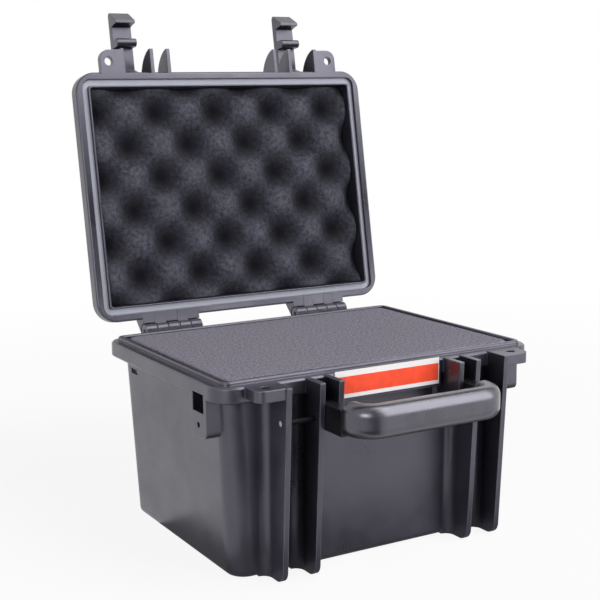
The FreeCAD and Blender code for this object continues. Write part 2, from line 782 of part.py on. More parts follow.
def make_latch(side, sign):
    """A latch lever, drawn about its pin as it stands open: barrel, arm, plate, bar and hook."""
    body = new_body(f"latch_{side}")
    lever = new_sketch(body, f"lever_{side}", "YZ_Plane", "-latch_width / 2")
    hook_top = f"sqrt({HOOK_RADIUS}^2 - {PLATE_LOW}^2)"
    hook_low = f"sqrt({HOOK_RADIUS}^2 - {HOOK_TIP}^2)"
    end = f"({hook_low} + pull_lip)"
    bar_near = "(bar_place - bar_radius)"
    bar_far = "(bar_place + bar_radius)"
    bar_end = f"({PLATE_LOW} - bar_drop)"
    draw(lever, [
        ("-latch_barrel", "0"),
        ("0", "-latch_barrel", "latch_barrel", 1),
        ("latch_barrel", "0", "latch_barrel", 1),
        ("-arm_back + latch_barrel", f"({PLATE_TOP} - lip_round)"),
        ("-arm_back + latch_barrel - lip_round", PLATE_TOP, "lip_round", 1),
        (f"-({end} - lip_round)", PLATE_TOP),
        (f"-{end}", f"({PLATE_TOP} - lip_round)", "lip_round", 1),
        (f"-({hook_low} + hook_foot)", HOOK_TIP),
        (f"-{hook_low}", HOOK_TIP),
        (f"-{hook_top}", PLATE_LOW, HOOK_RADIUS, -1),
        (f"-{bar_far}", PLATE_LOW),
        (f"-{bar_far}", bar_end),
        ("-bar_place", f"({bar_end} - bar_radius)", "bar_radius", 1),
        (f"-{bar_near}", bar_end, "bar_radius", 1),
        (f"-{bar_near}", PLATE_LOW),
        ("-arm_front", PLATE_LOW),
    ])
    extrude(body, lever, "latch_width")
    barrel_width = "(rib_pitch - fin_thickness - 2 * latch_side_gap)"
    barrel = new_sketch(body, f"barrel_{side}", "YZ_Plane", f"-{barrel_width} / 2")
    draw_circle(barrel, "0", "0", "latch_barrel")
    extrude(body, barrel, barrel_width)
    bore = new_sketch(body, f"latch_bore_{side}", "YZ_Plane", f"{barrel_width} / 2")
    draw_circle(bore, "0", "0", "latch_pin_radius + pin_clearance")
    extrude(body, bore, barrel_width, cut=True)
    place = f"placement(vector({sign} * {LATCH_X}; {PIVOT_Y}; pivot_rise); rotation(vector(1; 0; 0); 0))"
    body.setExpression("Placement", bound(f"{LID_POSE} * {place}"))
    return body


def make_rod(label, radius, length, middle, y, z, pose=""):
    """A straight steel rod or pin along X."""
    rod = doc.addObject("Part::Cylinder", label)
    rod.Label = label
    rod.setExpression("Radius", bound(radius))
    rod.setExpression("Height", bound(length))
    near = f"{middle} - ({length}) / 2"
    place = f"placement(vector({near}; {y}; {z}); rotation(vector(0; 1; 0); 90))"
    rod.setExpression("Placement", bound(f"{pose} * {place}" if pose else place))
    return rod


def make_pins(side, sign):
    """The rods and pins of one side: catch rod, hinge pin and latch pin."""
    rod_length = "(rib_pitch + ear_pitch + rib_thickness + 2 * rod_overlap)"
    rod_middle = f"{sign} * ({RIB_OUTER} + {EAR_X}) / 2"
    pin_length = "(rib_pitch + fin_thickness + 2 * rod_overlap)"
    return [
        make_rod(f"catch_rod_{side}", "rod_radius", rod_length, rod_middle, ROD_Y, ROD_Z),
        make_rod(
            f"hinge_pin_{side}", "hinge_pin_radius", "hinge_width", f"{sign} * {HINGE_X}",
            HINGE_Y, "(parting + hinge_rise)",
        ),
        make_rod(
            f"latch_pin_{side}", "latch_pin_radius", pin_length, f"{sign} * {LATCH_X}",
            PIVOT_Y, "pivot_rise", LID_POSE,
        ),
    ]


# Handle

ARM_IN = f"({EAR_X} + rib_thickness / 2 + arm_gap)"
ARM_OUT = f"({ARM_IN} + arm_thickness)"
HANDLE_LOW = f"({ROD_Z} - arm_below)"
GRIP_FRONT = f"({ROD_Y} - grip_reach)"
GRIP_START = f"({GRIP_FRONT} + grip_corner + grip_cuff)"
CORE_LOW = f"({HANDLE_LOW} + grip_skin)"
CORE_HEIGHT = "(grip_height - 2 * grip_skin)"
CORE_END = f"({GRIP_START} + core_tail)"


def draw_bow(sketch, skin, back):
    """Draw the U of the handle in plan, from its ends round its bar, inset by a skin."""
    outer = f"({ARM_OUT} - ({skin}))"
    inner = f"({ARM_OUT} - grip_thickness + ({skin}))"
    front = f"({GRIP_FRONT} + ({skin}))"
    inside = f"({GRIP_FRONT} + grip_thickness - ({skin}))"
    big = f"(grip_corner - ({skin}))"
    small = f"(grip_corner - grip_thickness + ({skin}))"
    draw(sketch, [
        (f"-{outer}", f"({front} + {big})"),
        (f"(-{outer} + {big})", front, big, 1),
        (f"({outer} - {big})", front),
        (outer, f"({front} + {big})", big, 1),
        (outer, back),
        (inner, back),
        (inner, f"({inside} + {small})"),
        (f"({inner} - {small})", inside, small, -1),
        (f"(-{inner} + {small})", inside),
        (f"-{inner}", f"({inside} + {small})", small, -1),
        (f"-{inner}", back),
        (f"-{outer}", back),
    ])


def make_bow(body, name, skin, low, height, back):
    """Make the handle's U and a test that chooses its long edges but not those of its two ends."""
    sketch = new_sketch(body, f"{name}_bow", "XY_Plane", low)
    draw_bow(sketch, skin, back)
    pad = extrude(body, sketch, height)
    levels = [value(low), value(f"{low} + {height}")]
    end = value(back)

    def chosen(edge):
        return any(lies_at(edge, 2, level) for level in levels) and not lies_at(edge, 1, end)

    return pad, chosen


def make_handle_frame():
    """The handle's arms, which turn on the catch rods, and the core inside its grip."""
    body = new_body("handle_frame")
    core, long_edges = make_bow(body, "core", "grip_skin", CORE_LOW, CORE_HEIGHT, CORE_END)
    bevel_edges(body, "core_edges", core, long_edges, "core_bevel")
    heel = f"({ROD_Y} + arm_heel)"
    arm = new_sketch(body, "arm_outline", "YZ_Plane", ARM_IN)
    draw(arm, [
        (GRIP_START, HANDLE_LOW),
        (f"({heel} - arm_round)", HANDLE_LOW),
        (heel, f"({HANDLE_LOW} + arm_round)", "arm_round", 1),
        (heel, f"({HANDLE_LOW} + arm_height - arm_round)"),
        (f"({heel} - arm_round)", f"({HANDLE_LOW} + arm_height)", "arm_round", 1),
        (GRIP_START, f"({HANDLE_LOW} + arm_height)"),
    ])
    right = extrude(body, arm, "arm_thickness")
    mirror(body, "left_arm", [right])
    bore = new_sketch(body, "arm_bore", "YZ_Plane", ARM_OUT)
    draw_circle(bore, ROD_Y, ROD_Z, "rod_radius + pin_clearance")
    cut = extrude(body, bore, "arm_thickness", cut=True)
    mirror(body, "left_bore", [cut])
    return body


def make_handle_grip():
    """The soft grip moulded round the handle's bar and corners."""
    body = new_body("handle_grip")
    grip, long_edges = make_bow(body, "grip", "0", HANDLE_LOW, "grip_height", GRIP_START)
    round_edges(body, "grip_edges", grip, long_edges, "grip_edge")
    hollow = new_body("grip_hollow")
    seat = "(grip_skin - grip_clearance)"
    room, long_edges = make_bow(hollow, "hollow", seat, CORE_LOW, CORE_HEIGHT, CORE_END)
    bevel_edges(hollow, "hollow_edges", room, long_edges, "core_bevel")
    hollow_out(body, "core_seat", hollow)
    return body


# Foam

def make_foam(label, low, high):
    """A foam layer that fills the tub between two heights."""
    body = new_body(label)
    block = tub_block(body, f"{label}_block", low, high, "wall_thickness + foam_clearance")
    round_edges(body, f"{label}_corners", block, rises, "cavity_radius - foam_clearance")
    return body


def make_tub_foam():
    """The floor pad and the two pluck layers, stacked up to just under the tongue's top."""
    floor_top = "(floor_thickness + foam_pad)"
    top = "(parting + tongue_height - foam_top_drop)"
    middle = f"(({floor_top} + {top}) / 2)"
    return [
        make_foam("foam_bottom_pad", "floor_thickness", floor_top),
        make_foam("pluck_foam_lower", f"({floor_top} + foam_layer_gap)", middle),
        make_foam("pluck_foam_upper", f"({middle} + foam_layer_gap)", top),
    ]


def egg_crate_slab():
    """A slab whose underside is faceted from a checkerboard of crests and hollows."""
    steps_per_cell = 3
    step = value("egg_cell") / steps_per_cell
    depth = value("egg_height")
    crest = value("egg_recess")
    top = value("crown_height")
    half_x = math.ceil((value(BODY_X) + value("egg_left")) / step)
    half_y = math.ceil((value(BODY_Y) + value("egg_back")) / step)

    def point(across, along, height=None):
        turns = [math.cos(math.pi * count / steps_per_cell) for count in (across, along)]
        waved = crest + depth * (1 - turns[0] * turns[1]) / 2
        x = across * step - value("egg_left")
        y = along * step + value("egg_back")
        return FreeCAD.Vector(x, y, waved if height is None else height)

    def facet(*corners):
        return Part.Face(Part.makePolygon([*corners, corners[0]]))

    faces = []
    for across in range(-half_x, half_x):
        for along in range(-half_y, half_y):
            corners = [point(across + x, along + y) for x, y in ((0, 0), (1, 0), (1, 1), (0, 1))]
            if (across + along) % 2:
                corners = corners[1:] + corners[:1]
            faces.append(facet(corners[0], corners[1], corners[2]))
            faces.append(facet(corners[0], corners[2], corners[3]))
    rim = [(across, -half_y) for across in range(-half_x, half_x)]
    rim += [(half_x, along) for along in range(-half_y, half_y)]
    rim += [(across, half_y) for across in range(half_x, -half_x, -1)]
    rim += [(-half_x, along) for along in range(half_y, -half_y, -1)]
    for number, here in enumerate(rim):
        before = rim[number - 1]
        faces.append(facet(point(*before), point(*here), point(*here, top), point(*before, top)))
    faces.append(facet(*[point(*here, top) for here in rim]))
    return Part.Solid(Part.Shell(faces))


def make_lid_foam():
    """The egg-crate foam in the lid: a block that fills the lid, cut to the waved slab."""
    block = new_body("lid_foam_block")
    top = "(crown_height - lid_top)"
    prism = crown_block(block, "lid_foam_prism", "0", top, "lid_wall + foam_clearance")
    round_edges(block, "lid_foam_corners", prism, rises, "lid_cavity_radius - foam_clearance")
    waves = doc.addObject("Part::Feature", "egg_crate_waves")
    waves.Shape = egg_crate_slab()
    foam = doc.addObject("Part::MultiCommon", "lid_foam")
    foam.Label = "lid_foam"
    foam.Shapes = [block, waves]
    foam.setExpression("Placement", bound(LID_POSE))
    return foam


def main():
    """Build every piece, check it and write it out."""
    parts = [make_base_shell(), make_front_label(), make_lid_shell(), make_lid_seal()]
    for side, sign in (("left", "-1"), ("right", "1")):
        parts.append(make_latch(side, sign))
        parts.extend(make_pins(side, sign))
    parts.extend([make_handle_frame(), make_handle_grip()])
    parts.extend(make_tub_foam())
    parts.append(make_lid_foam())
    doc.recompute()

    for item in doc.Objects:
        if {"Invalid", "Error"} & set(item.State):
            raise RuntimeError(f"{item.Label} did not build: {item.State}")
    os.makedirs("parts", exist_ok=True)
    for part in parts:
        shape = part.Shape
        if shape.isNull() or not shape.isValid() or not shape.Solids:
            raise RuntimeError(f"{part.Label} is not a valid solid")
        print(f"{part.Label}: {len(shape.Solids)} solid, {shape.Volume / 1000:.2f} cm3")
    for part in parts:
        part.Shape.exportStep(f"parts/{part.Label}.step")


main()
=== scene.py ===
"""Looks of the hard case: its moulded shells, latches, handle, seal, steel pins, label and foam."""
import json
import logging
import math
from dataclasses import dataclass, field
from enum import Enum
from functools import cached_property

import bpy
from mathutils import Matrix, Vector, noise


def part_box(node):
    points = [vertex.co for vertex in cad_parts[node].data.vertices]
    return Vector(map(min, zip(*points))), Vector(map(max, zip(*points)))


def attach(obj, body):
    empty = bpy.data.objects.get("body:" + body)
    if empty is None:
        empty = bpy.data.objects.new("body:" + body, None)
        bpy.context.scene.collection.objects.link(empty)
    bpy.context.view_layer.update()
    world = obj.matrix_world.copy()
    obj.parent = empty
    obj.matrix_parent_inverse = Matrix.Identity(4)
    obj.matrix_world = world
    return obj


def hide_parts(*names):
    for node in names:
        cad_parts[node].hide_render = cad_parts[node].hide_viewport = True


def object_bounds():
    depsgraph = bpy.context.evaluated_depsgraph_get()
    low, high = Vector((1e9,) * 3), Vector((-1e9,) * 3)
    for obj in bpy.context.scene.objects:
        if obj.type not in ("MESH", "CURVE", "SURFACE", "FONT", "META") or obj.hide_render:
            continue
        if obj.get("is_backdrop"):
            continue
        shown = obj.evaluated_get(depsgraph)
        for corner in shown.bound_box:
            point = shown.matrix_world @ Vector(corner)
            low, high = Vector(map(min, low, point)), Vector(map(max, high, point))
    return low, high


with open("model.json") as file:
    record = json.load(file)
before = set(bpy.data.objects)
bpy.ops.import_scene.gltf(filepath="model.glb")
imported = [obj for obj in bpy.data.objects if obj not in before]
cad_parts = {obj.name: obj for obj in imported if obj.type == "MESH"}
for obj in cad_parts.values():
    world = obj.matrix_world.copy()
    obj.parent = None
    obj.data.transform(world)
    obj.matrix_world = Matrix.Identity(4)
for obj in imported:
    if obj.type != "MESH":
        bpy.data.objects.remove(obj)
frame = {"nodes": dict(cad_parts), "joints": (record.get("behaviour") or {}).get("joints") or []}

log = logging.getLogger("hard_case")

Colour = tuple[float, float, float]
Socket = bpy.types.NodeSocket
Value = float | Colour | Socket

MILLIMETRE = 0.001
WHITE = (1.0, 1.0, 1.0)
BLACK = (0.0, 0.0, 0.0)
# Mesh attribute that carries the painted shade of the foam's hollows and sides
HOLLOW_SHADE_ATTRIBUTE = "hollow"

# Ranges of a noise texture's value that are stretched to 0 and 1
NOISE_RANGE = (0.3, 0.7)
MOTTLE_RANGE = (0.32, 0.68)
TARNISH_RANGE = (0.35, 0.7)

# Shares of noise and of pits in the height of the grain and of the foam's cells
GRAIN_NOISE_SHARE = 0.7
GRAIN_PIT_SHARE = 0.6
CELL_PIT_SHARE = 0.7

# Scale of the foam's fine noise, as a share of its cells' scale
CELL_NOISE_SCALE = 0.45

# Cosines of the rounded normal's turn where an edge starts and where it is full
EDGE_STARTS = 0.995
EDGE_FULL = 0.86

# Scuffing and painted highlight of an edge: the least share of it, and the mottle at which it is full
LEAST_SCUFF_AND_HIGHLIGHT = 0.35
FULL_SCUFF_AND_HIGHLIGHT_MOTTLE = 0.7


# Node helpers

class Wiring:
    """Adds nodes to a node tree and joins them."""

    def __init__(self, tree: bpy.types.NodeTree) -> None:
        """Take the tree that the nodes go into."""
        self.tree = tree

    def add(
        self, kind: str, inputs: dict[str | int, Value] | None = None, **options: object
    ) -> bpy.types.Node:
        """Add a node, set its options and fill its inputs.

        Args:
            kind: Blender's name of the node type.
            inputs: values or sockets for the node's inputs, by name or number.
            options: settings of the node itself.

        Returns:
            The new node.
        """
        node = self.tree.nodes.new(kind)
        for key, option in options.items():
            setattr(node, key, option)
        for key, value in (inputs or {}).items():
            self.fill(node.inputs[key], value)
        return node

    def fill(self, socket: Socket, value: Value) -> None:
        """Link a socket to another one, or set it to a value.

        Args:
            socket: the input to fill.
            value: the socket that it is linked to, or its value.
        """
        if isinstance(value, bpy.types.NodeSocket):
            self.tree.links.new(value, socket)
        elif isinstance(value, tuple) and socket.type == "RGBA":
            socket.default_value = (*value, 1.0)
        else:
            socket.default_value = value

    def calc(self, operation: str, first: Value, second: Value = 0.0, clamp: bool = False) -> Socket:
        """Work out one sum of two values and return its result."""
        node = self.add("ShaderNodeMath", {0: first, 1: second}, operation=operation, use_clamp=clamp)
        return node.outputs[0]

    def spread(
        self, value: Value, low: Value, high: Value, to_low: float = 0.0, to_high: float = 1.0
    ) -> Socket:
        """Stretch a value from one range to another, and clamp it there."""
        ends = {"From Min": low, "From Max": high, "To Min": to_low, "To Max": to_high}
        return self.add("ShaderNodeMapRange", {"Value": value, **ends}).outputs["Result"]

    def mix(self, share: Value, first: Value, second: Value) -> Socket:
        """Mix two colours.

        Args:
            share: the share of the second colour.
            first: the first colour.
            second: the second colour.

        Returns:
            The mixed colour's socket.
        """
        node = self.add("ShaderNodeMix", data_type="RGBA")
        colours = [socket for socket in node.inputs if socket.type == "RGBA"]
        self.fill(node.inputs[0], share)
        self.fill(colours[0], first)
        self.fill(colours[1], second)
        return next(socket for socket in node.outputs if socket.type == "RGBA")

    def noise(self, place: Socket, scale: Value, detail: float = 2.0, roughness: float = 0.5) -> Socket:
        """Add a noise texture and return its value."""
        inputs = {"Vector": place, "Scale": scale, "Detail": detail, "Roughness": roughness}
        return self.add("ShaderNodeTexNoise", inputs).outputs[0]


class Effect(Enum):
    """Effects that more than one material uses."""

    GRAIN = "moulded_grain"
    EDGES = "softened_edges"
    CELLS = "foam_cells"
    DEPTHS = "painted_depth_shade"


def start_group(
    effect: Effect, inputs: dict[str, float], outputs: dict[str, str]
) -> tuple[Wiring, bpy.types.Node]:
    """Start the node group of an effect.

    Args:
        effect: the effect that the group makes.
        inputs: the group's number inputs and their usual values.
        outputs: the group's outputs and their socket types.

    Returns:
        The group's wiring and its input node.
    """
    tree = bpy.data.node_groups.new(effect.value, "ShaderNodeTree")
    for name, usual in inputs.items():
        tree.interface.new_socket(name, in_out="INPUT", socket_type="NodeSocketFloat").default_value = usual
    for name, kind in outputs.items():
        tree.interface.new_socket(name, in_out="OUTPUT", socket_type=kind)
    wiring = Wiring(tree)
    return wiring, wiring.add("NodeGroupInput")


def grain_group() -> bpy.types.NodeTree:
    """Make the fine spark-eroded grain of a mould, with a slow mottle.

    Returns:
        The node group, with the grain's height, and the mottle from 0 to 1.
    """
    wiring, given = start_group(
        Effect.GRAIN,
        {"Grain Scale": 1100.0, "Mottle Scale": 30.0},
        {"Height": "NodeSocketFloat", "Mottle": "NodeSocketFloat"},
    )
    place = wiring.add("ShaderNodeTexCoord").outputs["Object"]
    fine = wiring.noise(place, given.outputs["Grain Scale"], 3.0, 0.6)
    pits = wiring.add("ShaderNodeTexVoronoi", {"Vector": place, "Scale": given.outputs["Grain Scale"]})
    bumps = wiring.calc("MULTIPLY", pits.outputs["Distance"], GRAIN_PIT_SHARE)
    height = wiring.calc("ADD", wiring.calc("MULTIPLY", fine, GRAIN_NOISE_SHARE), bumps)
    slow = wiring.noise(place, given.outputs["Mottle Scale"], 5.0, 0.6)
    mottle = wiring.spread(slow, *MOTTLE_RANGE)
    wiring.add("NodeGroupOutput", {"Height": height, "Mottle": mottle})
    return wiring.tree


def edge_group() -> bpy.types.NodeTree:
    """Make softly rounded edges, with a mask of their scuffing and painted highlight.

    Returns:
        The node group, with the rounded normal and the mask from 0 to 1.
    """
    wiring, given = start_group(
        Effect.EDGES,
        {"Reach": 0.001, "Mottle": 0.5},
        {"Normal": "NodeSocketVector", "Mask": "NodeSocketFloat"},
    )
    rounded = wiring.add("ShaderNodeBevel", {"Radius": given.outputs["Reach"]}, samples=6).outputs[0]
    flat = wiring.add("ShaderNodeNewGeometry").outputs["Normal"]
    match = wiring.add("ShaderNodeVectorMath", {0: rounded, 1: flat}, operation="DOT_PRODUCT")
    turned = wiring.spread(match.outputs["Value"], EDGE_STARTS, EDGE_FULL)
    # The mask stands for scuffing and for a painted highlight along the edges.
    scuff_and_highlight = wiring.spread(given.outputs["Mottle"], 0.0, FULL_SCUFF_AND_HIGHLIGHT_MOTTLE, LEAST_SCUFF_AND_HIGHLIGHT, 1.0)
    mask = wiring.calc("MULTIPLY", turned, scuff_and_highlight)
    wiring.add("NodeGroupOutput", {"Normal": rounded, "Mask": mask})
    return wiring.tree


def cell_group() -> bpy.types.NodeTree:
    """Make the open cells of cut foam.

    Returns:
        The node group, with the cells' height, and their speckle and soft patches from 0 to 1.
    """
    wiring, given = start_group(
        Effect.CELLS,
        {"Cell Scale": 900.0, "Patch Scale": 60.0},
        {"Height": "NodeSocketFloat", "Speckle": "NodeSocketFloat", "Patch": "NodeSocketFloat"},
    )
    place = wiring.add("ShaderNodeTexCoord").outputs["Object"]
    cells = wiring.add("ShaderNodeTexVoronoi", {"Vector": place, "Scale": given.outputs["Cell Scale"]})
    fine_scale = wiring.calc("MULTIPLY", given.outputs["Cell Scale"], CELL_NOISE_SCALE)
    fine = wiring.noise(place, fine_scale, 4.0, 0.7)
    pits = wiring.calc("MULTIPLY", cells.outputs["Distance"], CELL_PIT_SHARE)
    height = wiring.calc("ADD", pits, fine)
    speckle = wiring.spread(fine, *NOISE_RANGE)
    patch = wiring.spread(wiring.noise(place, given.outputs["Patch Scale"], 3.0), *NOISE_RANGE)
    wiring.add("NodeGroupOutput", {"Height": height, "Speckle": speckle, "Patch": patch})
    return wiring.tree


def painted_shade_group() -> bpy.types.NodeTree:
    """Make a mask of corners and hollows, where little light reaches, for painting shade into a colour.

    Returns:
        The node group, with the mask from 0 in the open to 1 deep inside.
    """
    wiring, given = start_group(
        Effect.DEPTHS,
        {"Reach": 0.03, "Open": 0.75, "Shut": 0.3},
        {"Mask": "NodeSocketFloat"},
    )
    seen = wiring.add(
        "ShaderNodeAmbientOcclusion", {"Distance": given.outputs["Reach"]}, samples=8, only_local=True
    )
    mask = wiring.spread(seen.outputs["AO"], given.outputs["Open"], given.outputs["Shut"])
    wiring.add("NodeGroupOutput", {"Mask": mask})
    return wiring.tree


MAKERS = {
    Effect.GRAIN: grain_group,
    Effect.EDGES: edge_group,
    Effect.CELLS: cell_group,
    Effect.DEPTHS: painted_shade_group,
}


def place_effect(wiring: Wiring, effect: Effect, inputs: dict[str, Value]) -> bpy.types.Node:
    """Place an effect's group in a material, and build the group the first time.

    Args:
        wiring: the material's wiring.
        effect: the effect to place.
        inputs: values of the group's inputs in this material.

    Returns:
        The group's node.
    """
    tree = bpy.data.node_groups.get(effect.value) or MAKERS[effect]()
    node = wiring.tree.nodes.new("ShaderNodeGroup")
    node.node_tree = tree
    for name, value in inputs.items():
        wiring.fill(node.inputs[name], value)
    return node


def shade(colour: Colour, share: float) -> Colour:
    """Make a colour lighter or darker by a share of itself."""
    return tuple(min(part * share, 1.0) for part in colour)


# Finishes

@dataclass(frozen=True)
class Finish:
    """A surface finish, and the settings that stay the same all over it."""

    name: str
    colour: Colour
    roughness: float
    metallic: float = 0.0
    specular: float = 0.5
    gloss_tint: Colour = WHITE

    @cached_property
    def material(self) -> bpy.types.Material:
        """Give the finish's material, built the first time that it is asked for.

        Returns:
            The material.
        """
        made = bpy.data.materials.new(f"{self.name}_finish")
        made.use_nodes = True
        made.diffuse_color = (*self.colour, 1.0)
        wiring = Wiring(made.node_tree)
        shader = made.node_tree.nodes["Principled BSDF"]
        shader.inputs["Base Color"].default_value = (*self.colour, 1.0)
        shader.inputs["Roughness"].default_value = self.roughness
        shader.inputs["Metallic"].default_value = self.metallic
        shader.inputs["Specular IOR Level"].default_value = self.specular
        shader.inputs["Specular Tint"].default_value = (*self.gloss_tint, 1.0)
        self.detail(wiring, shader)
        return made

    def detail(self, wiring: Wiring, shader: bpy.types.Node) -> None:
        """Add what varies over the surface to the shader's inputs.

        Args:
            wiring: the material's wiring.
            shader: the material's shader.
        """


@dataclass(frozen=True)
class Moulded(Finish):
    """Textured moulded plastic or rubber, a little lighter along its edges from scuffing and a painted
    highlight.
    """

    grain_scale: float = 1100.0
    grain_depth: float = 0.00006
    mottle_scale: float = 28.0
    mottle: float = 0.26
    edge_reach: float = 0.0009
    scuff_and_highlight_share: float = 1.9
    painted_shade_reach: float = 0.035
    painted_shade_share: float = 0.12
    coat: float = 0.0
    roughness_spread: float = 0.09
    bump_strength: float = 0.5

    def detail(self, wiring: Wiring, shader: bpy.types.Node) -> None:
        """Add grain, mottle, edges lightened by scuffing and a painted highlight, and painted shade in
        hollows.

        Args:
            wiring: the material's wiring.
            shader: the material's shader.
        """
        grain = place_effect(
            wiring, Effect.GRAIN, {"Grain Scale": self.grain_scale, "Mottle Scale": self.mottle_scale}
        )
        slow = grain.outputs["Mottle"]
        edges = place_effect(wiring, Effect.EDGES, {"Reach": self.edge_reach, "Mottle": slow})
        plain = wiring.mix(slow, shade(self.colour, 1 - self.mottle), shade(self.colour, 1 + self.mottle))
        # Painted highlight, partly scuffing: the edges' mask lightens the base colour.
        scuffed_and_highlit = wiring.mix(edges.outputs["Mask"], plain, shade(self.colour, self.scuff_and_highlight_share))
        # Painted shade: corners and hollows darken the base colour through an ambient-occlusion mask.
        painted_shade_node = place_effect(wiring, Effect.DEPTHS, {"Reach": self.painted_shade_reach})
        shaded = wiring.mix(painted_shade_node.outputs["Mask"], scuffed_and_highlit, shade(self.colour, self.painted_shade_share))
        wiring.fill(shader.inputs["Base Color"], shaded)
        shader.inputs["Coat Weight"].default_value = self.coat
        shader.inputs["Coat Roughness"].default_value = self.roughness
        smoothest, roughest = self.roughness - self.roughness_spread, self.roughness + self.roughness_spread
        wiring.fill(shader.inputs["Roughness"], wiring.spread(slow, 0.0, 1.0, smoothest, roughest))
        bump = wiring.add("ShaderNodeBump", {
            "Strength": self.bump_strength, "Distance": self.grain_depth,
            "Height": grain.outputs["Height"], "Normal": edges.outputs["Normal"],
        })
        wiring.fill(shader.inputs["Normal"], bump.outputs["Normal"])


@dataclass(frozen=True)
class CutFoam(Finish):
    """Open-celled foam, speckled by its cells."""

    cell_scale: float = 800.0
    cell_depth: float = 0.0006
    patch_scale: float = 45.0
    speckle: float = 0.35
    patch_share: float = 0.25
    hollow_shade_share: float = 0.5
    roughness_rise: float = 0.08
    bump_strength: float = 0.7

    def detail(self, wiring: Wiring, shader: bpy.types.Node) -> None:
        """Add cells, soft patches, and painted shade in hollows and down the sides, where light hardly
        reaches.

        Args:
            wiring: the material's wiring.
            shader: the material's shader.
        """
        cells = place_effect(
            wiring, Effect.CELLS, {"Cell Scale": self.cell_scale, "Patch Scale": self.patch_scale}
        )
        dark, light = shade(self.colour, 1 - self.speckle), shade(self.colour, 1 + self.speckle)
        speckled = wiring.mix(cells.outputs["Speckle"], dark, light)
        patch = wiring.calc("MULTIPLY", cells.outputs["Patch"], self.patch_share)
        patched = wiring.mix(patch, speckled, self.colour)
        hollow = wiring.add("ShaderNodeAttribute", attribute_name=HOLLOW_SHADE_ATTRIBUTE).outputs["Fac"]
        # Painted shade: the hollows and the sides are darkened in the base colour.
        shaded = wiring.mix(hollow, patched, shade(self.colour, self.hollow_shade_share))
        wiring.fill(shader.inputs["Base Color"], shaded)
        roughest = min(self.roughness + self.roughness_rise, 1.0)
        rough = wiring.spread(cells.outputs["Speckle"], 0.0, 1.0, self.roughness, roughest)
        wiring.fill(shader.inputs["Roughness"], rough)
        bump = wiring.add("ShaderNodeBump", {
            "Strength": self.bump_strength, "Distance": self.cell_depth, "Height": cells.outputs["Height"],
        })
        wiring.fill(shader.inputs["Normal"], bump.outputs["Normal"])


@dataclass(frozen=True)
class DrawnSteel(Finish):
    """Blackened steel rod along X, with fine lines left by drawing and bare cut ends."""

    line_scale: float = 2600.0
    line_stretch: float = 0.02
    line_depth: float = 0.00003
    bump_strength: float = 0.3
    tarnish_scale: float = 140.0
    tarnish_share: float = 0.7
    roughness_fall: float = 0.08
    roughness_rise: float = 0.12
    end_facing: float = 0.9
    bare_colour: Colour = (0.72, 0.72, 0.73)

    def detail(self, wiring: Wiring, shader: bpy.types.Node) -> None:
        """Add lines along X, a slow tarnish and the bare ends.

        Args:
            wiring: the material's wiring.
            shader: the material's shader.
        """
        place = wiring.add("ShaderNodeTexCoord").outputs["Object"]
        stretch = (self.line_stretch, 1.0, 1.0)
        stretched = wiring.add("ShaderNodeVectorMath", {0: place, 1: stretch}, operation="MULTIPLY")
        lines = wiring.noise(stretched.outputs["Vector"], self.line_scale, 3.0)
        tarnish = wiring.spread(wiring.noise(place, self.tarnish_scale, 4.0), *TARNISH_RANGE)
        black = wiring.mix(tarnish, self.colour, shade(self.colour, self.tarnish_share))
        normal = wiring.add("ShaderNodeNewGeometry").outputs["Normal"]
        facing = wiring.add("ShaderNodeSeparateXYZ", {0: normal})
        end = wiring.calc("GREATER_THAN", wiring.calc("ABSOLUTE", facing.outputs["X"]), self.end_facing)
        wiring.fill(shader.inputs["Base Color"], wiring.mix(end, black, self.bare_colour))
        smoothest, roughest = self.roughness - self.roughness_fall, self.roughness + self.roughness_rise
        wiring.fill(shader.inputs["Roughness"], wiring.spread(lines, *NOISE_RANGE, smoothest, roughest))
        bump = wiring.add("ShaderNodeBump", {
            "Strength": self.bump_strength, "Distance": self.line_depth, "Height": lines,
        })
        wiring.fill(shader.inputs["Normal"], bump.outputs["Normal"])


@dataclass(frozen=True)
class BorderedFilm(Finish):
    """Printed label film: one colour inside a pale border."""

    border_colour: Colour = (0.85, 0.83, 0.82)
    border_top: float = 0.0042
    border_low: float = 0.0028
    border_side: float = 0.0006
    ink_scale: float = 220.0
    ink_thin: float = 0.92
    ink_thick: float = 1.06
    roughness_spread: float = 0.05
    node: str = "front_label"

    def detail(self, wiring: Wiring, shader: bpy.types.Node) -> None:
        """Print the border from the label's own box, with a faint unevenness of the ink.

        Args:
            wiring: the material's wiring.
            shader: the material's shader.
        """
        low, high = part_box(self.node)
        place = wiring.add("ShaderNodeTexCoord").outputs["Object"]
        axes = wiring.add("ShaderNodeSeparateXYZ", {0: place})
        inside = [
            wiring.calc("GREATER_THAN", axes.outputs["X"], low.x + self.border_side),
            wiring.calc("LESS_THAN", axes.outputs["X"], high.x - self.border_side),
            wiring.calc("GREATER_THAN", axes.outputs["Z"], low.z + self.border_low),
            wiring.calc("LESS_THAN", axes.outputs["Z"], high.z - self.border_top),
        ]
        band = inside[0]
        for edge in inside[1:]:
            band = wiring.calc("MULTIPLY", band, edge)
        ink = wiring.spread(wiring.noise(place, self.ink_scale, 4.0), *NOISE_RANGE)
        printed = wiring.mix(ink, shade(self.colour, self.ink_thin), shade(self.colour, self.ink_thick))
        wiring.fill(shader.inputs["Base Color"], wiring.mix(band, self.border_colour, printed))
        smoothest, roughest = self.roughness - self.roughness_spread, self.roughness + self.roughness_spread
        wiring.fill(shader.inputs["Roughness"], wiring.spread(ink, 0.0, 1.0, smoothest, roughest))


COOL = (0.84, 0.82, 1.0)
